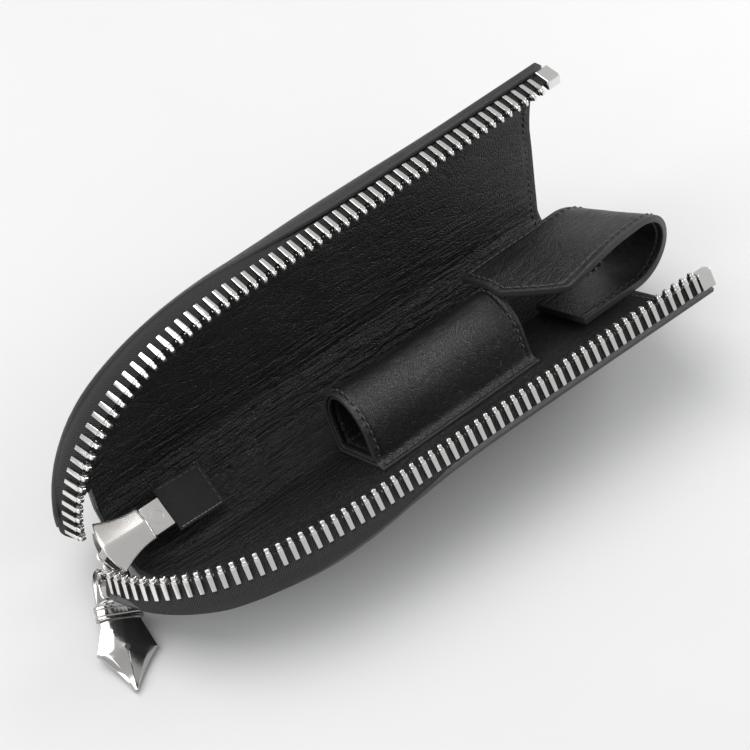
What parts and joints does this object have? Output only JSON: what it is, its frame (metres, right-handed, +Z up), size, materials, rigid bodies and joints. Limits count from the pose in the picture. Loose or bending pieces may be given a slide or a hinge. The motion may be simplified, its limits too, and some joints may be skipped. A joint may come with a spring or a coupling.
{
  "type": "fountain pen case",
  "caption": "Zip-round leather case for a fountain pen, standing open, with a pen sleeve, a folded-back flap and a nib-shaped zip pull.",
  "frame": {"origin": "on the surface the case stands on, below the middle of its outline", "axes": "+X along the spine towards the case's open end, -Y towards the front edge of the lower half, +Z up"},
  "size_m": [0.193, 0.0754, 0.0673],
  "materials": {
    "leather": "smooth black calf",
    "lining": "soft fine-grained black lining",
    "tape": "woven black zip tape",
    "nickel": "polished nickel"
  },
  "bodies": {
    "lower_half": {"lower_cover": "leather", "lower_lining": "lining", "lower_zip_tape": "tape", "lower_zip_teeth": "nickel", "lower_top_stop": "nickel", "pen_loop_leather": "leather", "pen_loop_lining": "lining", "flap_root_leather": "leather", "flap_root_lining": "lining"},
    "flap": {"flap_tongue_leather": "leather", "flap_tongue_lining": "lining"},
    "upper_half": {"upper_cover": "leather", "upper_lining": "lining", "upper_zip_tape": "tape", "upper_zip_teeth": "nickel", "upper_top_stop": "nickel"},
    "zip_end": {"slider_body": "nickel", "slider_rivet": "nickel", "bottom_stop": "nickel", "zip_tail": "tape", "spine_lining": "lining"},
    "swivel": {"pull_swivel": "nickel"},
    "pull": {"pull_nib": "nickel", "pull_collar": "nickel"}
  },
  "joints": [
    {"name": "case_fold", "type": "hinge", "parent": "lower_half", "child": "upper_half", "pos_m": [0.00506, 0.01402, 0.0122], "axis": [-1, 0, 0], "range_deg": [-72.4, 4]},
    {"name": "zip_end_fold", "type": "hinge", "parent": "lower_half", "child": "zip_end", "pos_m": [0.00506, 0.01402, 0.0122], "axis": [-1, 0, 0], "range_deg": [-36.2, 2]},
    {"name": "flap_lift", "type": "hinge", "parent": "lower_half", "child": "flap", "pos_m": [0.09653, 0.01356, 0.0114], "axis": [0, 0.8695, -0.4939], "range_deg": [-2, 45]},
    {"name": "pull_turn", "type": "hinge", "parent": "zip_end", "child": "swivel", "pos_m": [-0.07794, 0.01617, 0.00741], "axis": [0, -0.4099, 0.9121], "range_deg": [-122, 2]},
    {"name": "pull_swing", "type": "hinge", "parent": "swivel", "child": "pull", "pos_m": [-0.08012, 0.01206, 0.00557], "axis": [-0.9003, 0.397, 0.1784], "range_deg": [-105, 1]}
  ],
  "couplings": [
    {"joint": "zip_end_fold", "follows": "case_fold", "ratio": 0.5}
  ]
}
